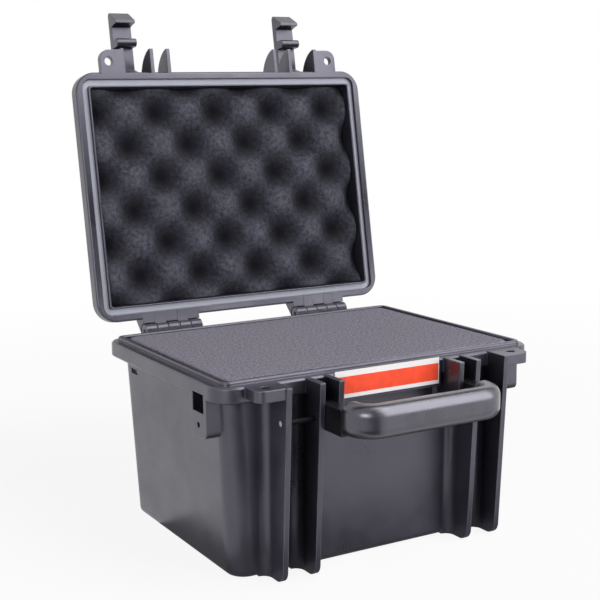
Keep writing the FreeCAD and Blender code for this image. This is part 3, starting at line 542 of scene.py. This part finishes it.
# The shell's edges are lightened six-fold in colour, mostly as a painted highlight.
SHELL = Moulded(
    "shell_plastic", (0.019, 0.018, 0.025), 0.35, specular=1.0, gloss_tint=COOL,
    edge_reach=0.0012, scuff_and_highlight_share=6.0, coat=0.2,
)
LATCH = Moulded(
    "latch_plastic", (0.015, 0.0155, 0.02), 0.33, specular=0.9, gloss_tint=COOL,
    grain_scale=1300.0, scuff_and_highlight_share=4.5,
)
ARM = Moulded("handle_plastic", (0.008, 0.008, 0.01), 0.34, specular=0.35, gloss_tint=COOL)
GRIP = Moulded(
    "grip_rubber", (0.016, 0.016, 0.02), 0.28, specular=1.0, gloss_tint=COOL, grain_scale=1500.0,
    grain_depth=0.00003, scuff_and_highlight_share=2.0, coat=0.6,
)
# The seal takes painted shade in its hollows, down to 0.6 of its colour.
SEAL = Moulded(
    "seal_rubber", (0.4, 0.41, 0.48), 0.6, grain_scale=1500.0, scuff_and_highlight_share=1.1, mottle=0.06, painted_shade_share=0.6,
)
PIN_STEEL = DrawnSteel(
    "pin_steel", (0.02, 0.02, 0.023), 0.45, metallic=1.0, bare_colour=(0.03, 0.03, 0.034),
)
ROD_STEEL = DrawnSteel("rod_steel", (0.014, 0.014, 0.016), 0.5, metallic=1.0)
FILM = BorderedFilm("label_film", (0.93, 0.085, 0.035), 0.35)
GREY_FOAM = CutFoam("tub_foam", (0.245, 0.232, 0.28), 0.95, specular=0.08, cell_scale=1100.0, speckle=0.6)
# Painted shade: the lid foam's hollows fall to a tenth of its colour.
DARK_FOAM = CutFoam(
    "lid_foam", (0.069, 0.069, 0.088), 0.95, specular=0.06, cell_scale=620.0, speckle=0.6, hollow_shade_share=0.1,
)


def dress(node: str, finish: Finish) -> None:
    """Give a CAD node its finish.

    Args:
        node: the node's name.
        finish: the finish that it takes.
    """
    mesh = frame["nodes"][node].data
    mesh.materials.clear()
    mesh.materials.append(finish.material)
    log.info("%s is dressed as %s", node, finish.name)


# Sub-assemblies

class Side(Enum):
    """The two sides of the case, as seen from the front."""

    LEFT = "left"
    RIGHT = "right"


@dataclass
class Tub:
    """The tub with its label, rods and hinge pins."""

    shell: str = "base_shell"
    label: str = "front_label"
    pins: dict[str, Finish] = field(
        default_factory=lambda: {"catch_rod": ROD_STEEL, "hinge_pin": PIN_STEEL}
    )

    def build(self) -> None:
        """Dress the tub's pieces."""
        dress(self.shell, SHELL)
        dress(self.label, FILM)
        for side in Side:
            for pin, finish in self.pins.items():
                dress(f"{pin}_{side.value}", finish)


@dataclass
class Lid:
    """The lid with its seal, latches and latch pins."""

    shell: str = "lid_shell"
    seal: str = "lid_seal"

    def build(self) -> None:
        """Dress the lid's pieces."""
        dress(self.shell, SHELL)
        dress(self.seal, SEAL)
        for side in Side:
            dress(f"latch_{side.value}", LATCH)
            dress(f"latch_pin_{side.value}", PIN_STEEL)


@dataclass
class Handle:
    """The carrying handle."""

    arms: str = "handle_frame"
    grip: str = "handle_grip"

    def build(self) -> None:
        """Dress the handle's pieces."""
        dress(self.arms, ARM)
        dress(self.grip, GRIP)


@dataclass
class FoamPiece:
    """A foam block with a gridded face, in a frame where its face looks along +Z or -Z."""

    piece: str
    node: str
    body: str
    finish: Finish
    grid_step: float = 5 * MILLIMETRE
    edge_round: float = 2.2 * MILLIMETRE
    corner: float = 8.6 * MILLIMETRE
    edge_lines: tuple[float, ...] = (0.0, 0.12, 0.3, 0.55, 1.0, 1.8)
    back_reach: float = 0.2 * MILLIMETRE
    sharp_degrees: float = 60.0
    pose: Matrix = field(default_factory=lambda: Matrix.Identity(4))

    def solid_points(self) -> list[Vector]:
        """Give the CAD solid's corners in the frame that the piece is built in."""
        back = self.pose.inverted()
        return [back @ vertex.co for vertex in frame["nodes"][self.node].data.vertices]

    def lines(self, half: float) -> list[float]:
        """Place grid lines across a width, closer together near its edges.

        Args:
            half: half of the width.

        Returns:
            The lines' places, from one edge to the other.
        """
        edge = [share * self.edge_round for share in self.edge_lines]
        inner = half - edge[-1]
        count = max(2, round(2 * inner / self.grid_step))
        middle = [-inner + 2 * inner * step / count for step in range(1, count)]
        near = [-half + place for place in edge]
        return near + middle + [-place for place in reversed(near)]

    def row_half(self, y: float, half_x: float, half_y: float) -> float:
        """Give half the width of a rounded rectangle at one of its rows."""
        over = max(0.0, abs(y) - (half_y - self.corner))
        return half_x - self.corner + math.sqrt(max(self.corner ** 2 - over ** 2, 0.0))

    def drop(self, x: float, y: float, half_x: float, half_y: float) -> float:
        """Give how far the face falls away near its edge.

        Args:
            x: place across the block.
            y: place along the block.
            half_x: half of the block's width.
            half_y: half of the block's depth.

        Returns:
            The fall, from 0 in the middle to the edge's radius at the rim.
        """
        inner_x, inner_y = half_x - self.corner, half_y - self.corner
        over_x, over_y = max(0.0, abs(x) - inner_x), max(0.0, abs(y) - inner_y)
        inset = self.corner - math.hypot(over_x, over_y)
        depth = max(0.0, self.edge_round - max(0.0, inset))
        return self.edge_round - math.sqrt(max(self.edge_round ** 2 - depth ** 2, 0.0))

    def face(self, x: float, y: float, near: float) -> float:
        """Give the height of the face at a place; the kinds of foam set it."""
        raise NotImplementedError

    def hollow(self, x: float, y: float) -> float:
        """Give how deep in a hollow a place of the face lies, from 0 to 1."""
        return 0.0

    @staticmethod
    def squares(rows: int, across: int) -> list[tuple[int, ...]]:
        """Join the points of a grid by squares, row by row."""
        starts = [row * across + column for row in range(rows - 1) for column in range(across - 1)]
        return [(start, start + 1, start + across + 1, start + across) for start in starts]

    @staticmethod
    def rim(rows: int, across: int) -> list[int]:
        """Give the numbers of the points round a grid's edge, in order.

        Args:
            rows: how many rows the grid has.
            across: how many points are in a row.

        Returns:
            The points' numbers, from the first corner round to it again.
        """
        last = rows - 1
        front = list(range(across))
        right = [row * across + across - 1 for row in range(1, rows)]
        back = [last * across + column for column in range(across - 2, -1, -1)]
        left = [row * across for row in range(last - 1, 0, -1)]
        return front + right + back + left

    def block(self) -> tuple[bpy.types.Mesh, list[float]]:
        """Make the block: its gridded face, its sides and its back.

        Returns:
            The mesh, and how deep in a hollow each of its points lies, which the finish paints as shade.
        """
        points = self.solid_points()
        near, far = self.near_height(points), self.far_height(points)
        way = 1.0 if far < near else -1.0
        half_x, half_y = (max(abs(point[axis]) for point in points) for axis in (0, 1))
        back_points = [point for point in points if abs(point.z - far) < self.back_reach]
        shrink_x = max(abs(point.x) for point in back_points) / half_x
        shrink_y = max(abs(point.y) for point in back_points) / half_y
        rows, columns = self.lines(half_y), self.lines(half_x)
        vertices: list[Vector] = []
        hollows: list[float] = []
        for y in rows:
            half = self.row_half(y, half_x, half_y)
            for column in columns:
                x = column * half / half_x
                height = self.face(x, y, near) - way * self.drop(x, y, half_x, half_y)
                vertices.append(Vector((x, y, height)))
                hollows.append(self.hollow(x, y))
        faces = self.squares(len(rows), len(columns))
        loop = self.rim(len(rows), len(columns))
        start = len(vertices)
        for number in loop:
            edge = vertices[number]
            vertices.append(Vector((edge.x * shrink_x, edge.y * shrink_y, far)))
            # Painted shade: the back's points count as deepest, so the sides darken towards the back.
            hollows.append(1.0)
        count = len(loop)
        for number in range(count):
            after = (number + 1) % count
            faces.append((loop[after], loop[number], start + number, start + after))
        faces.append(tuple(start + number for number in reversed(range(count))))
        mesh = bpy.data.meshes.new(self.piece)
        mesh.from_pydata([self.pose @ vertex for vertex in vertices], [], faces)
        if way < 0:
            mesh.flip_normals()
        return mesh, hollows

    def build(self) -> bpy.types.Object:
        """Build the foam, put it in place of its CAD solid and dress it.

        Returns:
            The foam piece.
        """
        mesh, hollows = self.block()
        mesh.shade_smooth()
        mesh.set_sharp_from_angle(angle=math.radians(self.sharp_degrees))
        # The attribute carries the painted shade of the hollows and the sides.
        mesh.attributes.new(HOLLOW_SHADE_ATTRIBUTE, "FLOAT", "POINT").data.foreach_set("value", hollows)
        mesh.materials.append(self.finish.material)
        foam = bpy.data.objects.new(self.piece, mesh)
        bpy.context.scene.collection.objects.link(foam)
        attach(foam, self.body)
        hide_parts(self.node)
        log.info("%s stands for %s with %d faces", self.piece, self.node, len(mesh.polygons))
        return foam

    def near_height(self, points: list[Vector]) -> float:
        """Give the height of the solid's face."""
        return max(point.z for point in points)

    def far_height(self, points: list[Vector]) -> float:
        """Give the height of the solid's back."""
        return min(point.z for point in points)


@dataclass
class TubFoam(FoamPiece):
    """One of the flat foam layers in the tub, with a slightly uneven cut face."""

    unevenness: float = 0.5 * MILLIMETRE
    wave_length: float = 70 * MILLIMETRE

    def face(self, x: float, y: float, near: float) -> float:
        """Give the cut face's height, always at or below the CAD solid's top."""
        place = Vector((x, y, near)) / self.wave_length
        return near - self.unevenness * (0.5 + 0.5 * noise.noise(place))


@dataclass
class LidFoam(FoamPiece):
    """The egg-crate foam in the lid, built shut and then turned open with the lid."""

    cell: float = 27.2 * MILLIMETRE
    height: float = 11 * MILLIMETRE
    shift: tuple[float, float] = (-8.5 * MILLIMETRE, 12 * MILLIMETRE)
    unevenness: float = 0.6 * MILLIMETRE
    wave_length: float = 18 * MILLIMETRE
    softness: float = 0.78

    def near_height(self, points: list[Vector]) -> float:
        """Give the height of the crests, which face down while the lid is shut."""
        return min(point.z for point in points)

    def far_height(self, points: list[Vector]) -> float:
        """Give the height of the foam's back against the lid's top."""
        return max(point.z for point in points)

    def hollow(self, x: float, y: float) -> float:
        """Give how deep below the crests a place lies: a checkerboard of rounded crests.

        Args:
            x: place across the block.
            y: place along the block.

        Returns:
            The depth, from 0 on a crest to 1 at the bottom of a hollow.
        """
        turn_x = math.pi * (x - self.shift[0]) / self.cell
        turn_y = math.pi * (y - self.shift[1]) / self.cell
        wave = math.cos(turn_x) * math.cos(turn_y)
        return (1 - math.copysign(abs(wave) ** self.softness, wave)) / 2

    def face(self, x: float, y: float, near: float) -> float:
        """Give the waved face's height."""
        rough = noise.noise(Vector((x, y, 0.0)) / self.wave_length)
        return near + self.height * self.hollow(x, y) + self.unevenness * (0.5 + 0.5 * rough)


def lid_pose() -> Matrix:
    """Give the lid's turn from shut to open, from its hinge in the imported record.

    Returns:
        The turn as a matrix in the row frame.
    """
    hinge = next(joint for joint in frame["joints"] if joint["name"] == "lid_hinge")
    place = Matrix.Translation(Vector(hinge["pos_m"]))
    angle = -math.radians(hinge["range_deg"][1])
    return place @ Matrix.Rotation(angle, 4, Vector(hinge["axis"])) @ place.inverted()


# Studio

@dataclass(frozen=True)
class Lamp:
    """A soft rectangular lamp that looks at the case."""

    name: str
    place: tuple[float, float, float]
    width: float
    height: float
    power: float
    in_gloss: bool = True

    def build(self, target: Vector) -> None:
        """Hang the lamp and turn it to the target.

        Args:
            target: the point that the lamp looks at.
        """
        data = bpy.data.lights.new(self.name, "AREA")
        data.energy = self.power
        data.shape = "RECTANGLE"
        data.size = self.width
        data.size_y = self.height
        lamp = bpy.data.objects.new(self.name, data)
        lamp.location = self.place
        lamp.rotation_euler = (target - Vector(self.place)).to_track_quat("-Z", "Y").to_euler()
        lamp.visible_glossy = self.in_gloss
        bpy.context.scene.collection.objects.link(lamp)


def lay_plate(name: str, width: float, height: float, drop: float = 0.0) -> bpy.types.Object:
    """Make a flat rectangle about the origin, facing up.

    Args:
        name: the name of the rectangle.
        width: its size along X.
        height: its size along Y.
        drop: how far below the origin it lies.

    Returns:
        The rectangle, linked to the scene.
    """
    across, along = width / 2, height / 2
    corners = [(-across, -along), (across, -along), (across, along), (-across, along)]
    mesh = bpy.data.meshes.new(name)
    mesh.from_pydata([(x, y, -drop) for x, y in corners], [], [(0, 1, 2, 3)])
    plate = bpy.data.objects.new(name, mesh)
    bpy.context.scene.collection.objects.link(plate)
    return plate


@dataclass(frozen=True)
class Board:
    """A board that only the case's gloss shows: dark, or glowing like the face of a soft lamp."""

    name: str
    place: tuple[float, float, float]
    width: float
    height: float
    facing: tuple[float, float, float]
    glow: float = 0.01

    def build(self) -> None:
        """Set the board up where it faces its way."""
        board = lay_plate(self.name, self.width, self.height)
        board.location = self.place
        board.rotation_euler = Vector(self.facing).to_track_quat("Z", "Y").to_euler()
        board.visible_camera = False
        board.visible_diffuse = False
        board.visible_shadow = False
        made = bpy.data.materials.new(self.name)
        made.use_nodes = True
        made.cycles.emission_sampling = "NONE"
        shader = made.node_tree.nodes["Principled BSDF"]
        shader.inputs["Base Color"].default_value = (*BLACK, 1.0)
        shader.inputs["Specular IOR Level"].default_value = 0.0
        shader.inputs["Emission Color"].default_value = (*WHITE, 1.0)
        shader.inputs["Emission Strength"].default_value = self.glow
        board.data.materials.append(made)
        board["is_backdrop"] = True


@dataclass
class Studio:
    """White surroundings, a pale floor, soft lamps and boards round the case."""

    floor_size: float = 12.0
    floor_drop: float = 0.0002
    floor_colour: Colour = (0.8, 0.8, 0.8)
    ambient: float = 0.1
    floor_glow: float = 0.9
    white_from: float = 0.35
    white_at: float = 1.1
    lamps: tuple[Lamp, ...] = (
        Lamp("top_lamp", (0.55, -0.3, 1.55), 0.8, 0.8, 7.0),
        Lamp("left_lamp", (-1.2, -1.1, 0.5), 0.7, 0.7, 10.0),
        Lamp("right_lamp", (1.87, -2.39, 1.95), 2.2, 4.4, 126.0, in_gloss=False),
    )
    boards: tuple[Board, ...] = (
        Board("right_board", (0.92, -1.28, 0.93), 1.24, 2.17, (-0.54, 0.69, -0.48), glow=5.0),
        Board("front_board", (-0.35, -1.3, 1.2), 0.5, 2.4, (0.26, 1.0, 0.0)),
        Board("ahead_board", (-0.2, -0.72, 0.0003), 0.34, 1.0, (0.0, 0.0, 1.0)),
        Board("floor_board", (0.1, -0.06, 0.0002), 0.5, 0.21, (0.0, 0.0, 1.0), glow=0.2),
        Board("lid_board", (0.09, -0.11, 0.305), 0.5, 0.21, (0.0, 1.0, 0.0)),
    )

    def build(self, target: Vector) -> None:
        """Build the surroundings.

        Args:
            target: the point that the lamps look at.
        """
        self.build_world()
        self.build_floor()
        for lamp in self.lamps:
            lamp.build(target)
        for board in self.boards:
            board.build()

    def seen_share(self, wiring: Wiring) -> Socket:
        """Tell rays that show the surroundings from those that only light the case.

        Args:
            wiring: the wiring of the world or the floor's material.

        Returns:
            A socket that is 1 for rays from the camera, in gloss and through glass, and otherwise 0.
        """
        path = wiring.add("ShaderNodeLightPath")
        either = wiring.calc("MAXIMUM", path.outputs["Is Camera Ray"], path.outputs["Is Glossy Ray"])
        return wiring.calc("MAXIMUM", either, path.outputs["Is Transmission Ray"])

    def build_world(self) -> None:
        """Make the surroundings white to look at, and a plain soft light."""
        world = bpy.data.worlds.new("studio")
        world.use_nodes = True
        wiring = Wiring(world.node_tree)
        back = world.node_tree.nodes["Background"]
        back.inputs["Color"].default_value = (*WHITE, 1.0)
        strength = wiring.spread(self.seen_share(wiring), 0.0, 1.0, self.ambient, 1.0)
        wiring.fill(back.inputs["Strength"], strength)
        bpy.context.scene.world = world

    def build_floor(self) -> None:
        """Lay a pale floor that looks white and keeps a faint shadow."""
        floor = lay_plate("floor", self.floor_size, self.floor_size, self.floor_drop)
        made = bpy.data.materials.new("floor")
        made.use_nodes = True
        wiring = Wiring(made.node_tree)
        shader = made.node_tree.nodes["Principled BSDF"]
        shader.inputs["Base Color"].default_value = (*self.floor_colour, 1.0)
        shader.inputs["Roughness"].default_value = 1.0
        shader.inputs["Specular IOR Level"].default_value = 0.0
        glow = wiring.add("ShaderNodeEmission", {"Color": WHITE, "Strength": 1.0})
        place = wiring.add("ShaderNodeTexCoord").outputs["Object"]
        far = wiring.add("ShaderNodeVectorMath", {0: place}, operation="LENGTH").outputs["Value"]
        glow_share = wiring.spread(far, self.white_from, self.white_at, self.floor_glow, 1.0)
        share = wiring.calc("MULTIPLY", self.seen_share(wiring), glow_share)
        mixed = wiring.add("ShaderNodeMixShader", {0: share, 1: shader.outputs[0], 2: glow.outputs[0]})
        wiring.fill(made.node_tree.nodes["Material Output"].inputs["Surface"], mixed.outputs[0])
        floor.data.materials.append(made)
        floor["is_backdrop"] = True


@dataclass(frozen=True)
class PhotoCamera:
    """The camera of the photograph, fitted to the case's corners in it."""

    place: tuple[float, float, float] = (-0.47937, -0.80913, 0.33598)
    yaw: float = 29.96
    pitch: float = 9.75
    roll: float = -0.74
    focal_pixels: float = 1222.76
    image_pixels: float = 600.0
    sensor_width: float = 36.0

    def build(self) -> None:
        """Make the camera and set it as the scene's."""
        yaw, pitch, roll = (math.radians(angle) for angle in (self.yaw, self.pitch, self.roll))
        flat = math.cos(pitch)
        ahead = Vector((math.sin(yaw) * flat, math.cos(yaw) * flat, -math.sin(pitch)))
        level = Vector((math.cos(yaw), -math.sin(yaw), 0.0))
        above = level.cross(ahead)
        right = math.cos(roll) * level + math.sin(roll) * above
        up = -math.sin(roll) * level + math.cos(roll) * above
        data = bpy.data.cameras.new("photo_camera")
        data.sensor_width = self.sensor_width
        data.lens = self.focal_pixels / self.image_pixels * self.sensor_width
        camera = bpy.data.objects.new("photo_camera", data)
        turn = Matrix((right, up, -ahead)).transposed().to_4x4()
        camera.matrix_world = Matrix.Translation(Vector(self.place)) @ turn
        bpy.context.scene.collection.objects.link(camera)
        bpy.context.scene.camera = camera


def main() -> None:
    """Build the case's looks, the studio and the camera, with the lamps aimed at the middle of the case's
    box.
    """
    logging.basicConfig(level=logging.INFO, format="%(name)s: %(message)s")
    bpy.context.scene.view_settings.view_transform = "Standard"
    cad_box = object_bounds()
    for assembly in (Tub(), Lid(), Handle()):
        assembly.build()
    layers = {"pad": "foam_bottom_pad", "lower": "pluck_foam_lower", "upper": "pluck_foam_upper"}
    for layer, node in layers.items():
        TubFoam(f"tub_foam_{layer}", node, "base", GREY_FOAM).build()
    LidFoam(
        "lid_foam_crate", "lid_foam", "lid", DARK_FOAM, grid_step=2.6 * MILLIMETRE, corner=2.1 * MILLIMETRE,
        pose=lid_pose(),
    ).build()
    low, high = cad_box
    Studio().build((low + high) / 2)
    PhotoCamera().build()


if __name__ == "__main__":
    main()
